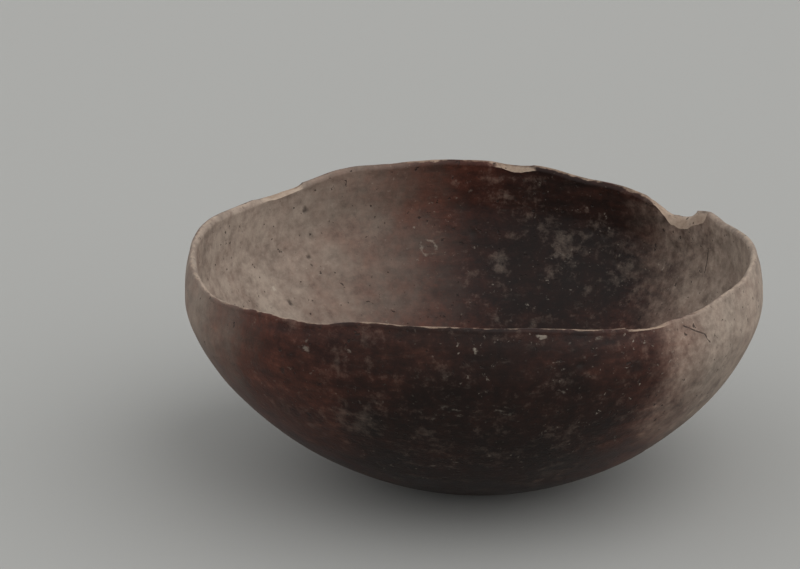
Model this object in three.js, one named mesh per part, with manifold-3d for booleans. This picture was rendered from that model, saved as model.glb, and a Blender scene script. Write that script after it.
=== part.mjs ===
// A hand-built bowl of red slipped and burnished earthenware, in millimetres, +Z up.
// It stands on the origin, with -Y towards the viewer and +X to the right.
// The clay is a pinched pad, ropes of clay lapped one on the other and a rim rope.
// A thin coat of slip covers the clay inside and out, and is worn off the lip and the foot.
import * as THREE from 'three';
import { mergeVertices } from 'three/addons/utils/BufferGeometryUtils.js';
import Module from 'manifold-3d';

// Outside of the bowl
const outerDiameter = 250;
const widestHeight = 82;
const rimHeight = 102;
const lipInturn = 2.5;
const standDiameter = 52;

// Exponents of the belly curve: how soon it leaves the upright, and how full it stays below
const bellyTaper = 1.51;
const bellyFullness = 2.15;

// Thickness of the clay at the foot, in the wall and at the lip, and of each coat of slip
const baseThickness = 8.5;
const wallThickness = 5.2;
const lipThickness = 4;
const slipThickness = 0.35;
const thinningHeight = 60;

// Pieces of clay: each seam is a slanting lap that lies higher inside than outside
const padDiameter = 112;
const wallCoilCount = 4;
const rimCoilHeight = 20;
const seamLap = 5;

// Bare clay: below the rounding of the lip, and above the worn stand
const bareLip = 1;
const bareFoot = 1.5;

// Unevenness from the hand: the rim lies off centre, and its height runs in waves round the bowl
const rimLean = -2.2;
const wavesStartHeight = 35;
const rimWaves = [
  { lobes: 1, height: 0.7, crestAzimuth: 90 },
  { lobes: 2, height: 2.9, crestAzimuth: 103 },
  { lobes: 3, height: 1.4, crestAzimuth: 2 },
  { lobes: 4, height: 1.9, crestAzimuth: -4 },
];

// Breaks in the lip: each is the round scar of a flake that came off towards the inside
const lipBreaks = [
  { azimuth: 43, scarRadius: 26, depth: 6, slope: 46 },
  { azimuth: 81, scarRadius: 11, depth: 0.8, slope: 52 },
];
const scarLength = 30;
const scarSides = 20;

// Fineness of the surfaces
const columns = 64;
const padSteps = 3;
const coilSteps = 2;
const lipSteps = 5;
const floorSteps = 3;

const clayRadius = outerDiameter / 2 - slipThickness;
const standRadius = standDiameter / 2;
const bellyDepth = widestHeight
  / (1 - (standRadius / clayRadius) ** bellyFullness) ** (1 / bellyTaper);
const lipStart = rimHeight - lipThickness / 2;
const slipTop = lipStart - bareLip;
const rimSeam = rimHeight - rimCoilHeight;

// Radius of the outer clay face at a height, and its change with height
function clayOutline(height) {
  if (height >= widestHeight) {
    const span = rimHeight - widestHeight;
    const share = (height - widestHeight) / span;
    return { radius: clayRadius - lipInturn * share ** 2, flare: -2 * lipInturn * share / span };
  }
  const drop = (widestHeight - height) / bellyDepth;
  const left = 1 - drop ** bellyTaper;
  const radius = clayRadius * left ** (1 / bellyFullness);
  const flare = radius / (bellyFullness * left) * bellyTaper * drop ** (bellyTaper - 1) / bellyDepth;
  return { radius, flare };
}

function heightAtRadius(radius) {
  const drop = (1 - (radius / clayRadius) ** bellyFullness) ** (1 / bellyTaper);
  return widestHeight - bellyDepth * drop;
}

const padHeight = heightAtRadius(padDiameter / 2);

// Point of the wall at a depth under the outer clay face, measured square to it
function wallPoint(height, depth) {
  const { radius, flare } = clayOutline(height);
  const stretch = Math.hypot(1, flare);
  return new THREE.Vector2(radius - depth / stretch, height + depth * flare / stretch);
}

function thicknessAt(height) {
  const aboveFoot = THREE.MathUtils.smoothstep(height, 0, thinningHeight);
  const towardsLip = THREE.MathUtils.smoothstep(height, rimSeam, lipStart);
  const lower = THREE.MathUtils.lerp(baseThickness, wallThickness, aboveFoot);
  return THREE.MathUtils.lerp(lower, lipThickness, towardsLip);
}

const outerFace = (height) => wallPoint(height, 0);
const innerFace = (height) => wallPoint(height, thicknessAt(height));
const outerBurnish = (height) => wallPoint(height, -slipThickness);
const innerBurnish = (height) => wallPoint(height, thicknessAt(height) + slipThickness);

// Floor of the bowl from the axis out to where the wall begins, level in the middle
function floorCurve(face) {
  const edge = face(0);
  const middleHeight = edge.y - edge.x / clayOutline(0).flare / 2;
  const middle = new THREE.Vector2(0, middleHeight);
  const control = new THREE.Vector2(edge.x / 2, middleHeight);
  return new THREE.QuadraticBezierCurve(middle, control, edge).getPoints(floorSteps);
}

// Seams on the outer face, an equal way apart along the wall, and their upper ends inside
function outerSeams() {
  const fineSteps = 60;
  const wall = [];
  for (let step = 0; step <= fineSteps; step += 1) {
    wall.push(outerFace(THREE.MathUtils.lerp(padHeight, rimSeam, step / fineSteps)));
  }
  return new THREE.SplineCurve(wall).getSpacedPoints(wallCoilCount).map((point) => point.y);
}

const seams = outerSeams();
const innerSeams = seams.map((seam) => seam + seamLap / Math.hypot(1, clayOutline(seam).flare));

// Heights at which each piece of clay has a ring of corners, from the pad up to the rim
function between(from, to, steps) {
  return Array.from({ length: steps + 1 }, (_, step) => from + (to - from) * step / steps);
}

function levels(seamHeights) {
  const pieces = [[0, ...between(bareFoot, seamHeights[0], padSteps)]];
  for (let coil = 1; coil <= wallCoilCount; coil += 1) {
    pieces.push(between(seamHeights[coil - 1], seamHeights[coil], coilSteps));
  }
  pieces.push([...between(seamHeights[wallCoilCount], slipTop, coilSteps), lipStart]);
  return pieces;
}

const outerLevels = levels(seams);
const innerLevels = levels(innerSeams);

function wavesAt(azimuth) {
  return rimWaves.reduce((sum, wave) => {
    const turn = azimuth - THREE.MathUtils.degToRad(wave.crestAzimuth);
    return sum + wave.height * Math.cos(wave.lobes * turn);
  }, 0);
}

const leanAt = (height) => rimLean * (height - widestHeight) / rimHeight;

// A ring or disc turned from its section, then pressed uneven as by hand.
// Both sides of a shared face are cut along the same diagonals, so touching pieces fit.
function pressedRing(section) {
  const geometry = new THREE.LatheGeometry(section, columns);
  geometry.rotateX(Math.PI / 2);
  const corner = (column, row) => (column % columns) * section.length + row;
  const triangles = [];
  for (let column = 0; column < columns; column += 1) {
    for (let row = 0; row < section.length; row += 1) {
      const next = (row + 1) % section.length;
      const here = corner(column, row);
      const beside = corner(column + 1, row);
      const across = corner(column + 1, next);
      const above = corner(column, next);
      const startsOnAxis = section[row].x === 0;
      const endsOnAxis = section[next].x === 0;
      if (startsOnAxis && endsOnAxis) continue;
      if (startsOnAxis) triangles.push(here, across, above);
      else if (endsOnAxis) triangles.push(here, beside, above);
      else if (section[row].y <= section[next].y) {
        triangles.push(here, beside, across, here, across, above);
      } else triangles.push(here, beside, above, beside, across, above);
    }
  }
  geometry.setIndex(triangles);
  const position = geometry.getAttribute('position');
  for (let index = 0; index < position.count; index += 1) {
    const x = position.getX(index);
    const y = position.getY(index);
    const z = position.getZ(index);
    const share = THREE.MathUtils.smoothstep(z, wavesStartHeight, rimHeight);
    position.setX(index, x + leanAt(z));
    position.setZ(index, z + wavesAt(Math.atan2(y, x)) * share);
  }
  geometry.deleteAttribute('normal');
  geometry.deleteAttribute('uv');
  return mergeVertices(geometry);
}

const wasm = await Module();
wasm.setup();

function solidFrom(geometry) {
  return new wasm.Manifold(new wasm.Mesh({
    numProp: 3,
    vertProperties: new Float32Array(geometry.getAttribute('position').array),
    triVerts: new Uint32Array(geometry.index.array),
  }));
}

function geometryFrom(solid) {
  const mesh = solid.getMesh();
  const geometry = new THREE.BufferGeometry();
  geometry.setAttribute('position', new THREE.BufferAttribute(mesh.vertProperties, 3));
  geometry.setIndex(new THREE.BufferAttribute(mesh.triVerts, 1));
  return geometry;
}

// What one break took away: a round bar that slopes down through the lip to the inside
function scar(lipBreak) {
  const azimuth = THREE.MathUtils.degToRad(lipBreak.azimuth);
  const slope = THREE.MathUtils.degToRad(lipBreak.slope);
  const outward = new THREE.Vector3(Math.cos(azimuth), Math.sin(azimuth), 0);
  const up = new THREE.Vector3(0, 0, 1);
  const alongScar = outward.clone().multiplyScalar(Math.cos(slope)).addScaledVector(up, Math.sin(slope));
  const offScar = up.clone().multiplyScalar(Math.cos(slope)).addScaledVector(outward, -Math.sin(slope));
  const middle = outward.clone().multiplyScalar(outerFace(lipStart).x);
  middle.x += leanAt(rimHeight);
  middle.z = rimHeight + wavesAt(azimuth) - lipBreak.depth;
  middle.addScaledVector(offScar, lipBreak.scarRadius);
  const bar = new THREE.CylinderGeometry(
    lipBreak.scarRadius, lipBreak.scarRadius, scarLength, scarSides);
  const barAxis = new THREE.Vector3(0, 1, 0);
  bar.applyQuaternion(new THREE.Quaternion().setFromUnitVectors(barAxis, alongScar));
  bar.translate(middle.x, middle.y, middle.z);
  bar.deleteAttribute('normal');
  bar.deleteAttribute('uv');
  return solidFrom(mergeVertices(bar));
}

const scars = lipBreaks.map(scar);

function broken(geometry) {
  return geometryFrom(scars.reduce((solid, cut) => solid.subtract(cut), solidFrom(geometry)));
}

const bareClay = new THREE.MeshStandardMaterial({ color: 0x8a5a41, roughness: 0.9, metalness: 0 });
const redSlip = new THREE.MeshStandardMaterial({ color: 0x6b2f22, roughness: 0.45, metalness: 0 });

const bowl = new THREE.Group();

function addPiece(name, geometry, material) {
  const piece = new THREE.Mesh(geometry, material);
  piece.name = name;
  bowl.add(piece);
}

// Pad: the stand, the outside of the foot, the first seam and the floor
const padSection = [
  new THREE.Vector2(0, 0),
  ...outerLevels[0].map(outerFace),
  ...innerLevels[0].slice(1).reverse().map(innerFace),
  ...floorCurve(innerFace).reverse(),
];
addPiece('base_pad', pressedRing(padSection), bareClay);

// Ropes of clay in the wall
for (let coil = 1; coil <= wallCoilCount; coil += 1) {
  const coilSection = [
    ...outerLevels[coil].map(outerFace),
    ...innerLevels[coil].toReversed().map(innerFace),
  ];
  addPiece(`wall_coil_${coil}`, pressedRing(coilSection), bareClay);
}

// Rim rope, rounded over into the lip
function lipRounding() {
  const outer = outerFace(lipStart);
  const inner = innerFace(lipStart);
  const middle = outer.clone().lerp(inner, 0.5);
  const half = outer.clone().sub(middle);
  const points = [];
  for (let step = 1; step < lipSteps; step += 1) {
    points.push(half.clone().rotateAround(new THREE.Vector2(), Math.PI * step / lipSteps).add(middle));
  }
  return points;
}

const rimLevels = wallCoilCount + 1;
const rimSection = [
  ...outerLevels[rimLevels].map(outerFace),
  ...lipRounding(),
  ...innerLevels[rimLevels].toReversed().map(innerFace),
];
addPiece('rim_coil', broken(pressedRing(rimSection)), bareClay);

// Slip coats, on the same rings of corners as the clay under them
const coated = (pieceLevels, from) => {
  const heights = [...new Set(pieceLevels.flat())];
  return heights.filter((height) => height >= from && height <= slipTop);
};

const outerCoat = coated(outerLevels, bareFoot);
const outerSlipSection = [
  ...outerCoat.map(outerBurnish),
  ...outerCoat.toReversed().map(outerFace),
];
addPiece('outer_slip', broken(pressedRing(outerSlipSection)), redSlip);

const innerCoat = coated(innerLevels, 0);
const innerSlipSection = [
  ...floorCurve(innerFace),
  ...innerCoat.slice(1).map(innerFace),
  ...innerCoat.slice(1).toReversed().map(innerBurnish),
  ...floorCurve(innerBurnish).reverse(),
];
addPiece('inner_slip', broken(pressedRing(innerSlipSection)), redSlip);

export default bowl;
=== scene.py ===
import math

import bmesh
import bpy
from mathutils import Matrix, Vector


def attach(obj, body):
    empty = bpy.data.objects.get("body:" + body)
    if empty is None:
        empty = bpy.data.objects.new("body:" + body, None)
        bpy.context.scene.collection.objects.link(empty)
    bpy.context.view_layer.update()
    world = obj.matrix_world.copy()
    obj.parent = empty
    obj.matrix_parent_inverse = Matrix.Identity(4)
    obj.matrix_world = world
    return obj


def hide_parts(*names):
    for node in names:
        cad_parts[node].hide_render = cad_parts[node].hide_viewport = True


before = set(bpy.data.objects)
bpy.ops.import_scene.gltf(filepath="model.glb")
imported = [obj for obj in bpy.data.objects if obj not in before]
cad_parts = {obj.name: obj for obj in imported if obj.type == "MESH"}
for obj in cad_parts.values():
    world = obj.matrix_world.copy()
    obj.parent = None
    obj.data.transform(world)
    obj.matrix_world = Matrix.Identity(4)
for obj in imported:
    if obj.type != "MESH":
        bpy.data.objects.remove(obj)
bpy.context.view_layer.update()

# Pad and wall: a pinched pad of coarse buff clay with four ropes of it lapped on in rings.
# They were drawn up and thinned by hand, so that both faces wave a little.
# Fired, they are one wall, which shows as bare clay only under the foot.
MM = 0.001
OUTER_DIAMETER = 250 * MM
WIDEST_HEIGHT = 82 * MM
RIM_HEIGHT = 102 * MM
LIP_INTURN = 2.5 * MM
STAND_DIAMETER = 52 * MM
BELLY_TAPER = 1.51
BELLY_FULLNESS = 2.15
BASE_THICKNESS = 8.5 * MM
WALL_THICKNESS = 5.2 * MM
LIP_THICKNESS = 4 * MM
THINNING_HEIGHT = 60 * MM
SLIP_THICKNESS = 0.35 * MM
PAD_DIAMETER = 112 * MM
RIM_COIL_HEIGHT = 20 * MM
SEAM_LAP = 5 * MM
WALL_COILS = 4
RIM_LEAN = -2.2 * MM
WAVES_START_HEIGHT = 35 * MM

# Waves of the rim: how many round the bowl, their height, and the azimuth of a crest in degrees
RIM_WAVES = ((1, 0.7 * MM, 90), (2, 2.9 * MM, 103), (3, 1.4 * MM, 2), (4, 1.9 * MM, -4))

# Short humps and dips of the rim: azimuth of the middle and half length in degrees, and the rise
RIM_HUMPS = (
    (168, 19, 2.1 * MM),
    (120, 13, 1.8 * MM),
    (74, 9, 0.8 * MM),
    (55, 9, 0.9 * MM),
    (29, 8, 2.7 * MM),
    (-31, 10, 1.2 * MM),
    (-76, 14, 1.1 * MM),
    (-110, 9, 1.1 * MM),
    (-120, 7, -0.6 * MM),
    (-136, 9, 1.2 * MM),
    (-152, 9, -0.9 * MM),
)

# Ripples of the rim between those, which are sunk so that the crests keep their height
RIPPLE_LENGTH = 16 * MM
RIPPLE_HEIGHT = 0.35 * MM
RIPPLE_SINK = 0.8

# Waves that the hand left in both faces, the room for them inside the outer face's line, and the
# levels between which they begin above the foot
SLOW_WAVE_LENGTH = 60 * MM
SLOW_WAVE_HEIGHT = 0.5 * MM
BRISK_WAVE_LENGTH = 18 * MM
BRISK_WAVE_HEIGHT = 0.16 * MM
RIDGE_LENGTH = 50 * MM
RIDGE_HEIGHT = 0.2 * MM
RIDGE_SQUEEZE = (1, 1, 5)
WAVE_ROOM = 0.8 * MM
HAND_WAVES_FROM = 1 * MM
HAND_WAVES_FULL = 14 * MM

CLAY_RADIUS = OUTER_DIAMETER / 2 - SLIP_THICKNESS
LIP_RISE = LIP_THICKNESS / 2
LIP_START = RIM_HEIGHT - LIP_RISE
RIM_SEAM = RIM_HEIGHT - RIM_COIL_HEIGHT
STAND_SHARE = (STAND_DIAMETER / 2 / CLAY_RADIUS) ** BELLY_FULLNESS
BELLY_DEPTH = WIDEST_HEIGHT / (1 - STAND_SHARE) ** (1 / BELLY_TAPER)


def smooth_step(value, low, high):
    share = min(max((value - low) / (high - low), 0), 1)
    return share * share * (3 - 2 * share)


def clay_outline(height):
    """Radius of the outer clay face at a height, and its change with height."""
    if height >= WIDEST_HEIGHT:
        span = RIM_HEIGHT - WIDEST_HEIGHT
        share = (height - WIDEST_HEIGHT) / span
        return CLAY_RADIUS - LIP_INTURN * share ** 2, -2 * LIP_INTURN * share / span
    drop = (WIDEST_HEIGHT - height) / BELLY_DEPTH
    left = 1 - drop ** BELLY_TAPER
    radius = CLAY_RADIUS * left ** (1 / BELLY_FULLNESS)
    slope = BELLY_TAPER * drop ** (BELLY_TAPER - 1) / BELLY_DEPTH
    return radius, radius / (BELLY_FULLNESS * left) * slope


def outer_point(height):
    return clay_outline(height)[0], height


def inner_point(height):
    foot = smooth_step(height, 0, THINNING_HEIGHT)
    lip = smooth_step(height, RIM_SEAM, LIP_START)
    thickness = BASE_THICKNESS + (WALL_THICKNESS - BASE_THICKNESS) * foot
    thickness += (LIP_THICKNESS - thickness) * lip
    radius, flare = clay_outline(height)
    stretch = math.hypot(1, flare)
    return radius - thickness / stretch, height + thickness * flare / stretch


def level_middle(edge, share):
    return edge[0] * share, edge[1]


def hollow_middle(edge, share):
    rise = edge[0] / clay_outline(0)[1] / 2
    return edge[0] * share, edge[1] - rise * (1 - share ** 2)


class WallLine:
    """One face of the clay as a line from the axis to the lip, and the way along it."""

    MIDDLE_STEPS = 20
    WALL_STEPS = 240
    CLOSER_AT_FOOT = 1.5

    def __init__(self, wall, middle):
        shares = [step / self.WALL_STEPS for step in range(self.WALL_STEPS + 1)]
        self.heights = [LIP_START * share ** self.CLOSER_AT_FOOT for share in shares]
        self.points = [middle(wall(0), step / self.MIDDLE_STEPS) for step in range(self.MIDDLE_STEPS)]
        self.points += [wall(height) for height in self.heights]
        ways = [0]
        for near, far in zip(self.points, self.points[1:]):
            ways.append(ways[-1] + math.dist(near, far))
        self.ways = ways[self.MIDDLE_STEPS:]

    def way_at(self, height):
        return self.read(height, self.heights, self.ways)

    def height_at(self, way):
        return self.read(way, self.ways, self.heights)

    def read(self, value, known, wanted):
        for step, high in enumerate(known[1:], start=1):
            if value <= high:
                share = (value - known[step - 1]) / (high - known[step - 1])
                return wanted[step - 1] + share * (wanted[step] - wanted[step - 1])
        return wanted[-1]


outer_line = WallLine(outer_point, level_middle)
inner_line = WallLine(inner_point, hollow_middle)
pad_height = next(
    height for height in outer_line.heights if clay_outline(height)[0] >= PAD_DIAMETER / 2)
pad_way = outer_line.way_at(pad_height)
rim_way = outer_line.way_at(RIM_SEAM)
outer_seams = [pad_way + (rim_way - pad_way) * coil / WALL_COILS for coil in range(WALL_COILS + 1)]
inner_seams = [inner_line.way_at(outer_line.height_at(way)) + SEAM_LAP for way in outer_seams]


class Field:
    """A number at every point of a surface. Sums and products of it become Math nodes."""

    def __init__(self, socket):
        self.socket = socket
        self.tree = socket.id_data

    def math(self, operation, *others):
        node = self.tree.nodes.new("ShaderNodeMath")
        node.operation = operation
        for position, value in enumerate((self, *others)):
            plug(value, node.inputs[position])
        return Field(node.outputs[0])

    def __add__(self, other):
        return self.math("ADD", other)

    def __mul__(self, other):
        return self.math("MULTIPLY", other)

    def __sub__(self, other):
        return self.math("SUBTRACT", other)

    def __truediv__(self, other):
        return self.math("DIVIDE", other)

    def least(self, other):
        return self.math("MINIMUM", other)

    def most(self, other):
        return self.math("MAXIMUM", other)

    def held(self):
        """The value, held between 0 and 1."""
        return self.most(0).least(1)

    def off(self):
        """What is left of 1."""
        return self * -1 + 1

    def step(self, low, high):
        """0 at low and 1 at high, smooth between; low may be the greater."""
        node = self.tree.nodes.new("ShaderNodeMapRange")
        node.interpolation_type = "SMOOTHSTEP"
        plug(self, node.inputs["Value"])
        node.inputs["From Min"].default_value = min(low, high)
        node.inputs["From Max"].default_value = max(low, high)
        result = Field(node.outputs["Result"])
        return result if low < high else result.off()

    def towards(self, other, share):
        """This value where share is 0, and the other where it is 1."""
        return self + (other - self) * share


def plug(value, socket):
    if isinstance(value, Field):
        value.tree.links.new(value.socket, socket)
    else:
        socket.default_value = value


def point(tree, x, y, z):
    node = tree.nodes.new("ShaderNodeCombineXYZ")
    for part, socket in zip((x, y, z), node.inputs):
        plug(part, socket)
    return node.outputs["Vector"]


def stretched(at, factors):
    """The same places with each direction multiplied, so that a pattern on them is squeezed."""
    tree = at.id_data
    node = tree.nodes.new("ShaderNodeVectorMath")
    node.operation = "MULTIPLY"
    tree.links.new(at, node.inputs[0])
    node.inputs[1].default_value = factors
    return node.outputs[0]


SEED_STEPS = (0.3, 0.5, 0.7)


def moved(at, seed):
    """The same places carried off, so that each seed meets another part of a pattern."""
    tree = at.id_data
    node = tree.nodes.new("ShaderNodeVectorMath")
    node.operation = "ADD"
    tree.links.new(at, node.inputs[0])
    way_off = [seed * step for step in SEED_STEPS]
    if isinstance(seed, Field):
        tree.links.new(point(tree, *way_off), node.inputs[1])
    else:
        node.inputs[1].default_value = way_off
    return node.outputs[0]


LUMPS_A_SIZE = 0.6
LUMP_SPREAD = 3.6


def lumps(at, size, seed, detail=2.0, rough=0.5):
    """Uneven lumps about size metres across, from about -1 to 1."""
    tree = at.id_data
    node = tree.nodes.new("ShaderNodeTexNoise")
    tree.links.new(moved(at, seed), node.inputs["Vector"])
    node.inputs["Scale"].default_value = LUMPS_A_SIZE / size
    node.inputs["Detail"].default_value = detail
    node.inputs["Roughness"].default_value = rough
    return (Field(node.outputs[0]) - 0.5) * LUMP_SPREAD


class WallRing:
    """Geometry Nodes that make one ring of the wall between a front and a back face.

    Each face follows the outer (0) or the inner (1) line of the clay from one way along it to
    another, lifted off the clay. The section runs up the front, over the top, down the back and home.
    """

    COUNTS = ("Around", "Front Rows", "Top Rows", "Back Rows", "Foot Rows", "Front Line", "Back Line")
    SIZES = ("Front From", "Front To", "Front Lift", "Back From", "Back To", "Back Lift")

    def __init__(self, name):
        self.tree = bpy.data.node_groups.new(name, "GeometryNodeTree")
        self.sockets = {}
        self.add_input("Lines", "NodeSocketGeometry")
        for count in self.COUNTS:
            self.add_input(count, "NodeSocketInt")
        for size in self.SIZES:
            self.add_input(size, "NodeSocketFloat")
        self.add_input("Material", "NodeSocketMaterial")
        self.tree.interface.new_socket("Ring", in_out="OUTPUT", socket_type="NodeSocketGeometry")
        self.given = self.tree.nodes.new("NodeGroupInput")
        self.kept = {}
        self.build()

    def add_input(self, name, kind):
        self.sockets[name] = self.tree.interface.new_socket(name, in_out="INPUT", socket_type=kind)

    def value(self, name):
        return Field(self.given.outputs[name])

    def node(self, kind, **links):
        node = self.tree.nodes.new(kind)
        for name, source in links.items():
            self.tree.links.new(source, node.inputs[name.replace("_", " ")])
        return node

    def build(self):
        front_rows = self.value("Front Rows")
        top_rows = self.value("Top Rows")
        back_rows = self.value("Back Rows")
        foot_rows = self.value("Foot Rows")
        around = self.value("Around")
        section_points = front_rows + top_rows + back_rows + foot_rows + 1
        index = Field(self.tree.nodes.new("GeometryNodeInputIndex").outputs[0])
        column = (index / section_points).math("FLOOR")
        row = index - column * section_points
        over = ((row - front_rows) / top_rows).held()
        down = ((row - front_rows - top_rows) / back_rows).held()
        home = ((row - front_rows - top_rows - back_rows) / foot_rows).held()
        along = (row / front_rows).held() - down
        across = (over * math.pi).math("COSINE") * -0.5 + 0.5 - home

        self.azimuth = column / around * (2 * math.pi) - math.pi
        self.cosine = self.azimuth.math("COSINE")
        self.sine = self.azimuth.math("SINE")
        self.on_rim = self.place(CLAY_RADIUS, 0)
        self.lines = self.node("GeometryNodeMeshToCurve", Mesh=self.given.outputs["Lines"]).outputs[0]
        front_radius, front_height = self.face("Front", along)
        back_radius, back_height = self.face("Back", along)
        radius = front_radius.towards(back_radius, across)
        height = front_height.towards(back_height, across)
        height = height + self.top_form(radius, height, over, across)

        lean = (height - WIDEST_HEIGHT) * (RIM_LEAN / RIM_HEIGHT)
        drawn_up = height + self.rim_wave() * height.step(WAVES_START_HEIGHT, RIM_HEIGHT)
        position = point(self.tree, radius * self.cosine + lean, radius * self.sine, drawn_up)
        grid = self.node("GeometryNodeMeshGrid")
        plug(around + 1, grid.inputs["Vertices X"])
        plug(section_points, grid.inputs["Vertices Y"])
        ring = self.node("GeometryNodeSetPosition", Geometry=grid.outputs["Mesh"], Position=position)
        for name, field in self.kept.items():
            ring = self.node("GeometryNodeStoreNamedAttribute", Geometry=ring.outputs[0])
            ring.inputs["Name"].default_value = name
            plug(field, ring.inputs["Value"])
        ring = self.node("GeometryNodeRealizeInstances", Geometry=ring.outputs[0])
        material = self.given.outputs["Material"]
        ring = self.node("GeometryNodeSetMaterial", Geometry=ring.outputs[0], Material=material)
        self.node("NodeGroupOutput", Ring=ring.outputs[0])

    def place(self, radius, height):
        return point(self.tree, self.cosine * radius, self.sine * radius, height)

    def rim_wave(self):
        """How far the rim rises or falls at each azimuth."""
        wave = self.azimuth * 0
        for lobes, rise, crest in RIM_WAVES:
            turn = self.azimuth * lobes - math.radians(lobes * crest)
            wave = wave + turn.math("COSINE") * rise
        for middle, half_length, rise in RIM_HUMPS:
            nearness = self.nearness(middle, half_length).held()
            wave = wave + nearness * nearness * rise
        ripples = lumps(self.on_rim, RIPPLE_LENGTH, 14) - RIPPLE_SINK
        return wave + ripples * RIPPLE_HEIGHT

    def nearness(self, middle, half_length):
        """1 at an azimuth in degrees, 0 half a length away from it, and less beyond."""
        edge = math.cos(math.radians(half_length))
        return ((self.azimuth - math.radians(middle)).math("COSINE") - edge) / (1 - edge)

    def face(self, side, along):
        """Radius and height of the points of one face."""
        line = self.value(f"{side} Line")
        top = self.value(f"{side} To") - self.lost_top(line)
        way = self.value(f"{side} From").towards(top, along)
        sample = self.node("GeometryNodeSampleCurve", Curves=self.lines)
        sample.mode = "LENGTH"
        sample.use_all_curves = False
        plug(line, sample.inputs["Curve Index"])
        plug(way, sample.inputs["Length"])
        position = self.node("ShaderNodeSeparateXYZ", Vector=sample.outputs["Position"])
        tangent = self.node("ShaderNodeSeparateXYZ", Vector=sample.outputs["Tangent"])
        radius = Field(position.outputs["X"])
        height = Field(position.outputs["Z"])
        at = self.place(radius, height)
        lift = self.value(f"{side} Lift") + self.hand_waves(at, line, height)
        lift = lift + self.relief(side, at, line, radius, way)
        outward = lift * (line * -2 + 1)
        radius = radius + Field(tangent.outputs["Z"]) * outward
        height = height - Field(tangent.outputs["X"]) * outward
        return radius, height

    def hand_waves(self, at, line, height):
        """How far the hand left a face off its line. The outer face never stands outside it."""
        slow = lumps(at, SLOW_WAVE_LENGTH, line * 11 + 2) * SLOW_WAVE_HEIGHT
        brisk = lumps(at, BRISK_WAVE_LENGTH, line * 11 + 6, detail=1) * BRISK_WAVE_HEIGHT
        ridges = lumps(stretched(at, RIDGE_SQUEEZE), RIDGE_LENGTH, line * 11 + 4, detail=1) * RIDGE_HEIGHT
        inside = (line - 1) * WAVE_ROOM
        return (slow + brisk + ridges + inside) * height.step(HAND_WAVES_FROM, HAND_WAVES_FULL)

    def lost_top(self, line):
        """How much of the top edge is gone."""
        return 0

    def top_form(self, radius, height, over, across):
        """How far the top stands above its chord."""
        return 0

    def relief(self, side, at, line, radius, way):
        """Fine relief on a face."""
        return 0


def wall_piece(node, slot, ring, material, **inputs):
    """One ring of the wall, shown in place of its CAD node, as a plain closed mesh at the origin."""
    name = f"shown_{node}"
    mesh = bpy.data.meshes.new(name)
    corners = []
    edges = []
    for line in (outer_line, inner_line):
        start = len(corners)
        corners += [(radius, 0, height) for radius, height in line.points]
        edges += [(corner, corner + 1) for corner in range(start, len(corners) - 1)]
    mesh.from_pydata(corners, edges, [])
    piece = bpy.data.objects.new(name, mesh)
    bpy.context.collection.objects.link(piece)
    modifier = piece.modifiers.new("ring", "NODES")
    modifier.node_group = ring.tree
    modifier[ring.sockets["Material"].identifier] = material
    for key, value in inputs.items():
        modifier[ring.sockets[key.replace("_", " ").title()].identifier] = value
    graph = bpy.context.evaluated_depsgraph_get()
    made = piece.evaluated_get(graph)
    piece_mesh = bpy.data.meshes.new_from_object(made, preserve_all_data_layers=True, depsgraph=graph)
    piece.modifiers.clear()
    piece.data = piece_mesh
    close_mesh(piece_mesh)
    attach(piece, "root")
    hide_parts(node)


WELD_DISTANCE = 0.002 * MM
SLIVER_LENGTH = 0.0005 * MM
SHARP_ANGLE = math.radians(48)


def close_mesh(mesh):
    """Closes the seam and the poles, and turns the faces outwards."""
    work = bmesh.new()
    work.from_mesh(mesh)
    bmesh.ops.remove_doubles(work, verts=work.verts, dist=WELD_DISTANCE)
    bmesh.ops.dissolve_degenerate(work, edges=work.edges, dist=SLIVER_LENGTH)
    loose_edges = [edge for edge in work.edges if edge.is_wire]
    bmesh.ops.delete(work, geom=loose_edges, context="EDGES")
    loose_corners = [corner for corner in work.verts if not corner.link_faces]
    bmesh.ops.delete(work, geom=loose_corners, context="VERTS")
    if work.calc_volume(signed=True) < 0:
        bmesh.ops.reverse_faces(work, faces=work.faces)
    work.to_mesh(mesh)
    work.free()
    mesh.shade_smooth()
    mesh.set_sharp_from_angle(angle=SHARP_ANGLE)


WEAK_GLOSS = 0.12


class Finish:
    """A new material with one shader, and the places on the piece."""

    def __init__(self, name):
        self.material = bpy.data.materials.new(name)
        self.material.use_nodes = True
        self.tree = self.material.node_tree
        self.shader = self.tree.nodes["Principled BSDF"]
        self.at = self.tree.nodes.new("ShaderNodeTexCoord").outputs["Object"]

    def kept(self, name):
        node = self.tree.nodes.new("ShaderNodeAttribute")
        node.attribute_name = name
        return Field(node.outputs["Fac"])

    def blend(self, under, over, share):
        """One colour over another, each a colour or the result of a blend."""
        node = self.tree.nodes.new("ShaderNodeMix")
        node.data_type = "RGBA"
        plug(share, node.inputs[0])
        for colour, socket in ((under, node.inputs[6]), (over, node.inputs[7])):
            if isinstance(colour, tuple):
                socket.default_value = (*colour, 1)
            else:
                self.tree.links.new(colour, socket)
        return node.outputs[2]

    def set(self, colour, roughness, bump, bump_depth):
        self.tree.links.new(colour, self.shader.inputs["Base Color"])
        plug(roughness, self.shader.inputs["Roughness"])
        node = self.tree.nodes.new("ShaderNodeBump")
        node.inputs["Distance"].default_value = bump_depth
        plug(bump, node.inputs["Height"])
        self.tree.links.new(node.outputs["Normal"], self.shader.inputs["Normal"])
        self.shader.inputs["Specular IOR Level"].default_value = WEAK_GLOSS
        return self.material


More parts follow.
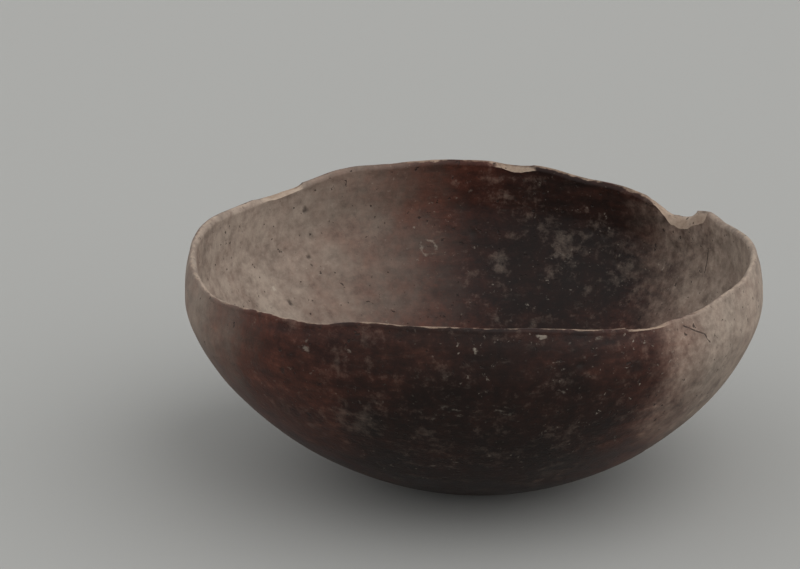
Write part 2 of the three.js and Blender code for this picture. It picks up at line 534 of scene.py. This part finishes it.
def spots(at, size, seed):
    """Scattered centres about size metres apart: the way to the nearest, and its lot from 0 to 1."""
    tree = at.id_data
    node = tree.nodes.new("ShaderNodeTexVoronoi")
    tree.links.new(moved(at, seed), node.inputs["Vector"])
    node.inputs["Scale"].default_value = 1 / size
    split = tree.nodes.new("ShaderNodeSeparateXYZ")
    tree.links.new(node.outputs["Color"], split.inputs[0])
    return Field(node.outputs["Distance"]) * size, Field(split.outputs["X"])


BUFF_CLAY = (0.33, 0.235, 0.168)
SANDY_CLAY = (0.46, 0.365, 0.28)
DARK_GRIT = (0.10, 0.07, 0.055)
CLAY_PATCH = 14 * MM
CLAY_GRAIN = 1.2 * MM
GRIT_SPACING = 2.6 * MM
GRIT_SIZE = 1.3 * MM
GRIT_EDGE = 0.15 * MM
CLAY_ROUGHNESS = 0.9
CLAY_RELIEF = 0.3 * MM


def clay_colour(finish, seed):
    """Buff clay with pale sand and dark grit, and how rough it stands."""
    patches = lumps(finish.at, CLAY_PATCH, seed, detail=5)
    grain = lumps(finish.at, CLAY_GRAIN, seed + 1, detail=3)
    grit_distance, grit_lot = spots(finish.at, GRIT_SPACING, seed + 2)
    grit = (grit_distance - (grit_lot - 0.5) * GRIT_SIZE).step(GRIT_EDGE, -GRIT_EDGE)
    colour = finish.blend(BUFF_CLAY, SANDY_CLAY, (patches * 0.4 + grain * 0.3 + 0.35).held())
    colour = finish.blend(colour, DARK_GRIT, grit * 0.8)
    return colour, grain * 0.5 + grit * 0.6


def coarse_clay():
    finish = Finish("coarse_clay")
    colour, height = clay_colour(finish, 40)
    return finish.set(colour, CLAY_ROUGHNESS, height, CLAY_RELIEF)


UNDER_SLIP = -0.4 * MM
wall_ring = WallRing("wall_ring")
clay = coarse_clay()
wall_piece(
    "base_pad", "bare_clay", wall_ring, clay,
    around=160, front_rows=24, top_rows=2, back_rows=20, foot_rows=1,
    front_line=0, front_from=0, front_to=outer_seams[0], front_lift=0,
    back_line=1, back_from=0, back_to=inner_seams[0], back_lift=UNDER_SLIP)
for coil in range(WALL_COILS):
    wall_piece(
        f"wall_coil_{coil + 1}", "bare_clay", wall_ring, clay,
        around=180, front_rows=8, top_rows=2, back_rows=8, foot_rows=2,
        front_line=0, front_from=outer_seams[coil], front_to=outer_seams[coil + 1],
        back_line=1, back_from=inner_seams[coil], back_to=inner_seams[coil + 1],
        front_lift=UNDER_SLIP, back_lift=UNDER_SLIP)

# Rim: the last rope of clay, drawn up and smoothed between wet fingers into a plain rounded lip. Its
# crest has lost its slip to wear, and it is chipped, with one large piece broken out. On its right end
# the pale bare crest is painted sheen.
outer_lip = outer_line.way_at(LIP_START)
inner_lip = inner_line.way_at(LIP_START)

# Breaks of the lip, each on the outer face and then on the inner face: right and left end and
# right and left ramp in degrees round the bowl, and the depth that is gone
LIP_BREAKS = (
    ((33.2, 48.5, 7, 6, 6.2 * MM), (28.2, 46.2, 9.5, 5.6, 10 * MM)),
    ((76.5, 86, 4, 3, 0.8 * MM), (75.5, 87, 5, 6, 3.6 * MM)),
    ((131, 146, 6, 6, 2.2 * MM), (131, 146, 6, 6, 2.8 * MM)),
    ((-60, -49, 6, 3, 1.8 * MM), (-60, -49, 6, 3, 1.4 * MM)),
)

# Stretches of the lip whose slip is worn through, and one at -15 degrees which is painted sheen: azimuth
# of the middle and half length in degrees
WORN_AND_SHEEN_LIP = ((-80, 36), (-142, 30), (93, 15), (60, 18), (172, 38), (-15, 32))

# Small nicks of the lip, the ragged edges and grain of the breaks, and the lengths that are rubbed
NICK_LENGTH = 7 * MM
NICK_DEPTH = 1.3 * MM
RAGGED_LENGTH = 4 * MM
BREAK_GRAIN = 3.5 * MM
BREAK_RELIEF = 0.45 * MM
WORN_LENGTH = 9 * MM
RUBBED_LENGTH = 6 * MM


class RimRing(WallRing):
    """A ring whose top is the lip, round where it is whole and rough where it is broken."""

    STEEP_END = 0.35

    def bite(self, right, left, right_ramp, left_ramp, depth):
        """Depth of a break, which falls off steeply on its right and evenly on its left."""
        from_right = ((self.azimuth - math.radians(right)) / math.radians(right_ramp)).held()
        from_left = ((self.azimuth * -1 + math.radians(left)) / math.radians(left_ramp)).held()
        return from_right.math("POWER", self.STEEP_END).least(from_left) * depth

    def lip_loss(self, line):
        """How much of the lip is gone on the outer face (line 0) or on the inner (line 1)."""
        lost = (lumps(self.on_rim, NICK_LENGTH, line * 5 + 3, detail=4) - 0.35).most(0) * NICK_DEPTH
        ragged = lumps(self.on_rim, RAGGED_LENGTH, 1, detail=3) * 0.12 + 1
        for outer_break, inner_break in LIP_BREAKS:
            depth = self.bite(*outer_break).towards(self.bite(*inner_break), line)
            lost = lost.most(depth * ragged)
        return lost

    def lost_top(self, line):
        return (self.lip_loss(line) - LIP_RISE).most(0)

    def rubbed_lengths(self):
        """Where along the lip the slip is rubbed off most, from about -1 to 1."""
        return lumps(self.on_rim, RUBBED_LENGTH, 33, detail=4, rough=0.6)

    def top_form(self, radius, height, over, across):
        outer_loss = self.lip_loss(self.value("Front Line"))
        inner_loss = self.lip_loss(self.value("Back Line"))
        broken = (outer_loss.towards(inner_loss, across * across) / LIP_RISE).held()
        bulge = (inner_loss - outer_loss).most(0) * across * across.off()
        arch = (over * math.pi).math("SINE")
        worn = broken * 0
        # The stretch at -15 degrees is painted sheen, the others wear
        for middle, half_length in WORN_AND_SHEEN_LIP:
            worn = worn.most(self.nearness(middle, half_length).step(-0.5, 0.5))
        worn = (worn + lumps(self.on_rim, WORN_LENGTH, 30, detail=4) * 0.7).step(0.2, 0.8)
        crest = (arch - 0.68 + self.rubbed_lengths() * 0.45).step(0, 0.3) * 0.6
        self.kept["bare"] = (crest * worn).most(broken * arch.step(0, 0.3))
        self.kept["inside"] = across
        rough = lumps(self.place(radius, height), BREAK_GRAIN, 21, detail=3) * BREAK_RELIEF
        return arch * (broken.off() * LIP_RISE + broken * (rough + bulge))


DEEP_RED = (0.030, 0.0105, 0.0076)
SLIP_RED = (0.092, 0.031, 0.0200)
RUBBED_RED = (0.160, 0.069, 0.045)
# Dark of smoke, also painted as shade in clouds over walls that stand in shade
SMOKE_AND_SHADE_DARK = (0.0088, 0.0063, 0.0055)
# Pale lime film, and the same pale colour painted on as light on the sides lit by the window and as sheen
# along grazing edges
PALE_FILM_AND_LIGHT = (0.35, 0.29, 0.235)
LIME = (0.44, 0.39, 0.32)
PIT_DARKENING = (0.018, 0.013, 0.011)
SLIP_RELIEF = 0.2 * MM
CRACK_EDGE = 0.45 * MM
CRACK_CORE = 0.1 * MM
CRACK_WOBBLE = 0.7 * MM


def wall_place(wall, azimuth, height):
    """A place on the outer or inner face, from its azimuth in degrees and its height on the wall."""
    radius, rise = wall(height)
    turn = math.radians(azimuth)
    return Vector((radius * math.cos(turn), radius * math.sin(turn), rise))


def far_from(at, place):
    tree = at.id_data
    node = tree.nodes.new("ShaderNodeVectorMath")
    node.operation = "DISTANCE"
    tree.links.new(at, node.inputs[0])
    node.inputs[1].default_value = place
    return Field(node.outputs["Value"])


def crack(split, ragged, start, end):
    """A hairline crack between two places of the upper wall, each an azimuth and a height."""
    (first_azimuth, first_height), (last_azimuth, last_height) = start, end
    turn = Field(split.outputs["Y"]).math("ARCTAN2", Field(split.outputs["X"]))
    beside = (turn - math.radians(first_azimuth)) * CLAY_RADIUS
    above = Field(split.outputs["Z"]) - first_height
    run = math.radians(last_azimuth - first_azimuth) * CLAY_RADIUS
    rise = last_height - first_height
    share = ((beside * run + above * rise) / (run ** 2 + rise ** 2)).held()
    beside = beside - share * run + ragged * CRACK_WOBBLE
    above = above - share * rise
    return (beside * beside + above * above).math("SQRT").step(CRACK_EDGE, CRACK_CORE)


class SlipPatterns:
    """The patterns of one coat of mottled red slip, which its colour and its relief share."""

    def __init__(self, finish, seed):
        self.finish = finish
        self.at = finish.at
        self.seed = seed
        self.grain = lumps(self.at, 0.9 * MM, seed, detail=2)
        self.fine = lumps(self.at, 2.6 * MM, seed + 1, detail=5, rough=0.7)
        self.patches = lumps(self.at, 13 * MM, seed + 2, detail=6, rough=0.66)
        self.strokes = lumps(stretched(self.at, (1, 1, 4)), 11 * MM, seed + 4, detail=5, rough=0.66)
        self.smoke = lumps(self.at, 60 * MM, seed + 5, detail=5)
        clouds = lumps(self.at, 75 * MM, seed + 3)
        self.tone = clouds * 0.3 + self.patches * 0.7 + self.strokes * 0.35 + self.fine * 0.6
        self.split = finish.tree.nodes.new("ShaderNodeSeparateXYZ")
        finish.tree.links.new(self.at, self.split.inputs[0])

    def red(self):
        """The colour of the slip itself, lighter where it is rubbed."""
        colour = self.finish.blend(DEEP_RED, SLIP_RED, (self.tone * 0.8 + 0.4).held())
        return self.finish.blend(colour, RUBBED_RED, self.tone.step(0.25, 1.4) * 0.8)

    def smoke_and_shade(self, shade_clouds):
        """How far it is darkened, by smoke here and there and by painted shade in clouds of a place and a
        radius.
        """
        smoke_and_shade = self.smoke.step(0.1, 0.9)
        for place, radius in shade_clouds:
            from_middle = far_from(self.at, place) / radius + self.smoke * 0.35 + self.strokes * 0.15
            smoke_and_shade = smoke_and_shade.most(from_middle.step(1.1, 0.3))
        return smoke_and_shade * (self.tone * -0.1 + 0.85)

    def film_and_light(self, sides, smudge, stains):
        """Pale colour: painted light and painted sheen towards its sides, and real film in smudges,
        stains and scuffs elsewhere.
        """
        ragged_x = Field(self.split.outputs["X"]) + self.smoke * (14 * MM)
        ragged_x = ragged_x + self.patches * (12 * MM) + self.fine * (6 * MM)
        side = self.fine * 0
        for film_from, film_to in sides:
            side = side.most(ragged_x.step(film_from, film_to))
        cloudy = lumps(self.at, 10 * MM, self.seed + 6, detail=6, rough=0.68) * 0.45
        cloudy = cloudy + self.fine * 0.4 + self.strokes * 0.15
        smudged = cloudy
        for place, radius, strength in stains:
            from_middle = far_from(self.at, place) / radius + self.patches * 0.3
            smudged = smudged + from_middle.step(1.2, 0.4) * strength
        scuffs = lumps(stretched(self.at, (1, 1, 2.5)), 4 * MM, self.seed + 13, detail=5, rough=0.7)
        film_and_light = (side * (cloudy * 0.85 + 0.8)).most((smudged - 0.1) * smudge)
        return (film_and_light + scuffs.step(0.2, 1.3) * 0.13).held()

    def lime(self):
        """Lime in clusters of small and large specks, and in the marks kept on the mesh."""
        small = lumps(self.at, 1.3 * MM, self.seed + 8, detail=3, rough=0.6)
        large = lumps(stretched(self.at, (1, 1, 1.6)), 4.5 * MM, self.seed + 9, detail=4, rough=0.6)
        specks = small.step(0.5, 0.85).most(large.step(0.8, 1.05))
        cluster = lumps(self.at, 24 * MM, self.seed + 10, detail=4).step(-0.6, 0.8)
        crumbs = lumps(stretched(self.at, (1, 1, 1.8)), 2 * MM, self.seed + 11, detail=4, rough=0.65)
        mark = self.finish.kept("lime")
        mark = (mark + crumbs * 0.6 - 0.35).step(0, 0.4) * mark.least(1)
        return mark.most(specks * cluster * 0.7)

    def pits(self, cracks):
        """Fine pits, the pits kept on the mesh, and cracks that run between two places."""
        pit = lumps(self.at, 1.6 * MM, self.seed + 12).step(0.62, 0.9).most(self.finish.kept("pit"))
        for start, end in cracks:
            pit = pit.most(crack(self.split, self.fine, start, end))
        return pit


def slip_coat(finish, seed, lit_sides, smudge, shade_clouds, stains=(), cracks=()):
    """Colour, roughness and relief of a coat of slip, with what wear, burial and smoke left on it, and
    painted light and shade.
    """
    slip = SlipPatterns(finish, seed)
    bare, clay_height = clay_colour(finish, seed + 7)
    worn = (finish.kept("bare") + slip.fine * 0.2).step(0.25, 0.8)
    film_and_light = slip.film_and_light(lit_sides, smudge, stains)
    lime = slip.lime()
    pit = slip.pits(cracks)
    # Darker where smoke is, and painted shade in the given clouds
    colour = finish.blend(slip.red(), SMOKE_AND_SHADE_DARK, slip.smoke_and_shade(shade_clouds))
    colour = finish.blend(colour, bare, worn * (slip.fine * 0.15 + 0.64))
    # The pale colour is painted light and painted sheen towards the sides, and real film in the smudges
    colour = finish.blend(colour, PALE_FILM_AND_LIGHT, film_and_light * 0.8)
    colour = finish.blend(colour, LIME, lime * 0.5)
    # Pits and cracks are coloured darker
    colour = finish.blend(colour, PIT_DARKENING, pit * 0.8)
    roughness = film_and_light * 0.35 + worn * 0.35 + lime * 0.35 + slip.patches * 0.06 + 0.42
    height = slip.strokes * 0.2 + slip.fine * 0.2 + slip.grain * 0.12
    height = height + lime * 0.4 + worn * clay_height * 0.5 - pit * 0.9
    return colour, roughness.held(), height


def burnished_slip(name, *coat):
    finish = Finish(name)
    return finish.set(*slip_coat(finish, *coat), SLIP_RELIEF)


def worn_lip(outer_coat, inner_coat):
    """The two coats, which meet raggedly along the crest of the lip."""
    finish = Finish("worn_lip")
    outer_colour, outer_roughness, outer_height = slip_coat(finish, *outer_coat)
    inner_colour, inner_roughness, inner_height = slip_coat(finish, *inner_coat)
    ragged = lumps(finish.at, 4 * MM, 60, detail=4) * 0.3
    inside = (finish.kept("inside") + ragged).step(0.3, 0.5)
    colour = finish.blend(outer_colour, inner_colour, inside)
    roughness = outer_roughness.towards(inner_roughness, inside)
    height = outer_height.towards(inner_height, inside)
    return finish.set(colour, roughness, height, SLIP_RELIEF)


# Each coat: its seed, the sides where the pale colour thickens as painted light and painted sheen, from
# and to a place across the bowl, how much real pale film lies elsewhere in smudges, and the dark clouds
# of painted shade with their radius
# Painted light: the outer face is paler on its lit right side and along its left edge as painted sheen;
# the inner face is paler on its lit left side and along its right rim as painted sheen
OUTER_LIT_SIDES = ((62 * MM, 116 * MM), (-80 * MM, -150 * MM))
INNER_LIT_SIDES = ((0, -104 * MM), (72 * MM, 120 * MM))
# Painted shade: dark clouds over the front and the back-left of the outer face and the back-right of the
# inner face
OUTER_SHADE_CLOUDS = (
    (wall_place(outer_point, -90, 58 * MM), 107 * MM),
    (wall_place(outer_point, 140, 70 * MM), 60 * MM),
)
INNER_SHADE_CLOUDS = ((wall_place(inner_point, 66, 66 * MM), 75 * MM),)
OUTER_COAT = (70, OUTER_LIT_SIDES, 0.4, OUTER_SHADE_CLOUDS)
INNER_COAT = (90, INNER_LIT_SIDES, 0.54, INNER_SHADE_CLOUDS)
rim_ring = RimRing("rim_ring")
wall_piece(
    "rim_coil", "bare_clay", rim_ring, worn_lip(OUTER_COAT, INNER_COAT),
    around=900, front_rows=18, top_rows=12, back_rows=18, foot_rows=2,
    front_line=0, front_from=outer_seams[-1], front_to=outer_lip, front_lift=0,
    back_line=1, back_from=inner_seams[-1], back_to=inner_lip, back_lift=0)

# Slip: a thin coat of red iron clay, wiped on wet inside and out and burnished with a pebble before
# firing. Use and burial left it mottled and pitted, with lime on it, and worn off along the lip. Its lit
# sides and grazing edges are painted paler as light and sheen, and clouds of painted shade darken it.
BARE_FOOT = 1.5 * MM
SHOWN_THICKNESS = 0.42 * MM
outer_foot = outer_line.way_at(BARE_FOOT)

# The worn top edge: how thin it is, over what length the coat thins to it, and how it is eaten away
THIN_EDGE = 0.03 * MM
EDGE_LENGTH = 6 * MM
EDGE_WEAR_LENGTH = 9 * MM
EDGE_WEAR_DEPTH = 1 * MM
BREAK_MARGIN = 0.4 * MM
RUBBED_WIDTH = 5 * MM

# Scattered pits and flakes: how far apart they are, how wide the widest, and how deep or high
PIT_SPACING = 17 * MM
PIT_SIZE = 2.6 * MM
PIT_EDGE = 0.5 * MM
PIT_DEPTH = 0.27 * MM
FLAKE_SPACING = 48 * MM
FLAKE_SIZE = 11 * MM
FLAKE_EDGE = 0.4 * MM
FLAKE_RAGGEDNESS = 2.2 * MM
RAGGED_SIZE = 5 * MM
LIME_HEIGHT = 0.06 * MM

# Marks with lime on them: outer (0) or inner (1) face, azimuth in degrees, height on the wall,
# half width, half height, how thick the lime is, and the share of it that is a hollow ring
LIME_MARKS = (
    (0, -93, 68 * MM, 10 * MM, 5 * MM, 0.38, 0),
    (0, -84, 70 * MM, 6 * MM, 4 * MM, 0.32, 0),
    (0, -97, 39 * MM, 7 * MM, 2 * MM, 0.4, 0),
    (0, -122, 93 * MM, 3 * MM, 4 * MM, 0.45, 0),
    (0, -112.5, 90 * MM, 5 * MM, 4 * MM, 0.35, 0),
    (0, -74, 77 * MM, 5 * MM, 2 * MM, 0.4, 0),
    (0, -89.4, 93.7 * MM, 1.2 * MM, 2.4 * MM, 0.75, 0),
    (0, -77, 99.2 * MM, 2.6 * MM, 1.8 * MM, 0.7, 0),
    (0, -71, 98.6 * MM, 2.4 * MM, 1.5 * MM, 0.5, 0),
    (0, -66.2, 98.4 * MM, 3 * MM, 2 * MM, 0.5, 0),
    (0, -72.3, 91 * MM, 3 * MM, 1.8 * MM, 0.4, 0),
    (0, -75, 88 * MM, 3.4 * MM, 1.8 * MM, 0.4, 0),
    (0, -50, 89 * MM, 1.6 * MM, 2.2 * MM, 0.5, 0),
    (1, 101, 61 * MM, 5 * MM, 5 * MM, 0.62, 0.65),
    (1, 67, 61 * MM, 9 * MM, 7 * MM, 0.3, 0),
    (1, 146, 58 * MM, 1.6 * MM, 2.4 * MM, 0.9, 0),
)

# Deep pits: face, azimuth, height on the wall and radius
PITS = (
    (1, 90.2, 67 * MM, 2.2 * MM),
    (1, 54.8, 63.6 * MM, 1.8 * MM),
    (1, 58.8, 74.2 * MM, 1.6 * MM),
    (1, 62.0, 75.5 * MM, 1.4 * MM),
    (1, 143.2, 50 * MM, 1.5 * MM),
    (1, 132, 66 * MM, 1.3 * MM),
    (0, -70, 88 * MM, 1.5 * MM),
    (0, -128, 80 * MM, 1.6 * MM),
)


class SlipRing(RimRing):
    """A coat on one face of the wall, pitted and flaked, with a worn top edge."""

    def lost_top(self, line):
        wear = (lumps(self.on_rim, EDGE_WEAR_LENGTH, line * 7 + 2, detail=4) * 0.8 + 0.2).most(0)
        gone = (self.lip_loss(line) - LIP_RISE).most(0)
        return (wear * EDGE_WEAR_DEPTH).most(gone + BREAK_MARGIN)

    def top_form(self, radius, height, over, across):
        return 0

    def relief(self, side, at, line, radius, way):
        if side == "Back":
            return 0
        ragged = lumps(at, RAGGED_SIZE, 12, detail=3)
        distance, lot = spots(at, PIT_SPACING, line * 3 + 1)
        pit = (distance - (lot - 0.45) * PIT_SIZE).step(PIT_EDGE, -PIT_EDGE)
        for face, azimuth, height, size in PITS:
            from_pit = self.from_mark(face, azimuth, height, size, size, radius, way)
            pit = pit.most(from_pit.step(1.2, 0.4) * self.on_face(line, face))
        distance, lot = spots(at, FLAKE_SPACING, line * 3 + 9)
        flaked = distance + ragged * FLAKE_RAGGEDNESS - (lot - 0.7) * FLAKE_SIZE
        flaked = flaked.step(FLAKE_EDGE, -FLAKE_EDGE)
        lime = flaked * 0
        for face, azimuth, height, half_width, half_height, thick, hollow in LIME_MARKS:
            from_mark = self.from_mark(face, azimuth, height, half_width, half_height, radius, way)
            mark = (from_mark + ragged * 0.5 * (1 - hollow)).step(1.1, 0.5 + hollow * 0.3)
            mark = mark * (from_mark - hollow).step(-0.35, 0.05)
            lime = lime.most(mark * self.on_face(line, face) * thick)
        from_edge = self.value("Front To") - self.lost_top(line) - way
        rubbed = (self.rubbed_lengths() - 0.5 - from_edge / RUBBED_WIDTH).step(0, 0.4)
        self.kept["bare"] = (flaked * 0.6).most(rubbed * 0.8)
        self.kept["lime"] = lime
        self.kept["pit"] = pit
        thinned = from_edge.step(EDGE_LENGTH, 0) * (THIN_EDGE - SHOWN_THICKNESS)
        relief = pit.most(flaked * 0.7) * -PIT_DEPTH + lime * LIME_HEIGHT
        return (relief + thinned).most(THIN_EDGE - SHOWN_THICKNESS)

    def on_face(self, line, face):
        return line if face else line.off()

    def from_mark(self, face, azimuth, height, half_width, half_height, radius, way):
        """How far a point is from the middle of a mark, where 1 is the edge of the mark."""
        mark_way = (outer_line, inner_line)[face].way_at(height)
        along = (way - mark_way) / half_height
        beside = (self.azimuth - math.radians(azimuth)) * radius / half_width
        return (along * along + beside * beside).math("SQRT")


# Stains: place, radius and strength. Cracks: two places, each an azimuth and a height on the wall
OUTER_STAINS = (
    (wall_place(outer_point, -113.5, 60 * MM), 13 * MM, 0.35),
    (wall_place(outer_point, -150, 72 * MM), 22 * MM, 0.25),
    (wall_place(outer_point, 60, 50 * MM), 18 * MM, 0.3),
)
OUTER_CRACKS = (((-46.5, 96 * MM), (-41, 90 * MM)), ((-41, 90 * MM), (-39.5, 86 * MM)))
INNER_STAINS = (
    (wall_place(inner_point, 67, 62 * MM), 12 * MM, 0.12),
    (wall_place(inner_point, 50, 55 * MM), 16 * MM, 0.1),
    (wall_place(inner_point, 82, 90 * MM), 18 * MM, 0.06),
)
INNER_CRACKS = (((27.5, 84 * MM), (27, 73 * MM)),)
slip_ring = SlipRing("slip_ring")
outer_slip_finish = burnished_slip("outer_slip_finish", *OUTER_COAT, OUTER_STAINS, OUTER_CRACKS)
inner_slip_finish = burnished_slip("inner_slip_finish", *INNER_COAT, INNER_STAINS, INNER_CRACKS)
wall_piece(
    "outer_slip", "red_slip", slip_ring, outer_slip_finish,
    around=680, front_rows=112, top_rows=2, back_rows=28, foot_rows=2,
    front_line=0, front_from=outer_foot, front_to=outer_lip, front_lift=SHOWN_THICKNESS,
    back_line=0, back_from=outer_foot, back_to=outer_lip, back_lift=0)
wall_piece(
    "inner_slip", "red_slip", slip_ring, inner_slip_finish,
    around=680, front_rows=112, top_rows=2, back_rows=28, foot_rows=1,
    front_line=1, front_from=0, front_to=inner_lip, front_lift=SHOWN_THICKNESS,
    back_line=1, back_from=0, back_to=inner_lip, back_lift=0)

# Floor: a plain pale table top that the bowl stands on. It is matt, and reaches so far that its edge
# stays out of the picture.
FLOOR_RADIUS = 5
FLOOR_SIDES = 64
FLOOR_ROUGHNESS = 0.9
FLOOR_COLOUR = (0.31, 0.31, 0.298)
floor_mesh = bpy.data.meshes.new("floor")
floor_shape = bmesh.new()
bmesh.ops.create_circle(floor_shape, cap_ends=True, radius=FLOOR_RADIUS, segments=FLOOR_SIDES)
floor_shape.to_mesh(floor_mesh)
floor_shape.free()
floor = bpy.data.objects.new("floor", floor_mesh)
bpy.context.collection.objects.link(floor)
floor_finish = Finish("floor_finish")
floor_finish.shader.inputs["Base Color"].default_value = (*FLOOR_COLOUR, 1)
floor_finish.shader.inputs["Roughness"].default_value = FLOOR_ROUGHNESS
floor_mesh.materials.append(floor_finish.material)

# Light: broad daylight from the right, a little before the bowl, in a pale room whose other walls and
# ceiling throw some of it back.
ROOM_STRENGTH = 0.56


def daylight(name, azimuth, elevation, spread, strength):
    """Even soft light from one side, in degrees round the bowl and above the floor."""
    light = bpy.data.lights.new(name, "SUN")
    light.angle = math.radians(spread)
    light.energy = strength
    light_object = bpy.data.objects.new(name, light)
    light_object.rotation_euler = (0, math.radians(90 - elevation), math.radians(azimuth))
    bpy.context.collection.objects.link(light_object)


daylight("window", azimuth=-20, elevation=42, spread=85, strength=1.85)
daylight("left_wall", azimuth=180, elevation=25, spread=80, strength=0.6)
daylight("ceiling", azimuth=0, elevation=90, spread=90, strength=0.2)
daylight("front_wall", azimuth=-105, elevation=30, spread=90, strength=0.75)
world = bpy.data.worlds.new("room")
bpy.context.scene.world = world
world.use_nodes = True
room = world.node_tree.nodes["Background"]
room.inputs["Color"].default_value = (1, 1, 1, 1)
room.inputs["Strength"].default_value = ROOM_STRENGTH

# Camera: above the rim and in front. The bowl sits right of the picture's middle and below it, so the
# camera is turned to bring it there.
VIEW_DISTANCE = 1.2
VIEW_ELEVATION = math.radians(19.6)
FOCAL_PIXELS = 2749
PICTURE_WIDTH = 800
PICTURE_HEIGHT = 569
BOWL_PIXEL_X = 473
BOWL_PIXEL_Y = 357.4
SENSOR_WIDTH = 36
BOWL_MIDDLE_HEIGHT = 50 * MM
bowl_middle = Vector((0, 0, BOWL_MIDDLE_HEIGHT))
forward = Vector((0, math.cos(VIEW_ELEVATION), -math.sin(VIEW_ELEVATION)))
upward = Vector((0, math.sin(VIEW_ELEVATION), math.cos(VIEW_ELEVATION)))
pixel = VIEW_DISTANCE / FOCAL_PIXELS
aim = bowl_middle + Vector((PICTURE_WIDTH / 2 - BOWL_PIXEL_X, 0, 0)) * pixel
aim += upward * (BOWL_PIXEL_Y - PICTURE_HEIGHT / 2) * pixel
camera_data = bpy.data.cameras.new("camera")
camera_data.sensor_width = SENSOR_WIDTH
camera_data.lens = SENSOR_WIDTH * FOCAL_PIXELS / PICTURE_WIDTH
camera = bpy.data.objects.new("camera", camera_data)
camera.location = bowl_middle - forward * VIEW_DISTANCE
camera.rotation_euler = (aim - camera.location).to_track_quat("-Z", "Y").to_euler()
bpy.context.collection.objects.link(camera)
bpy.context.scene.camera = camera
bpy.context.scene.view_settings.view_transform = "Standard"
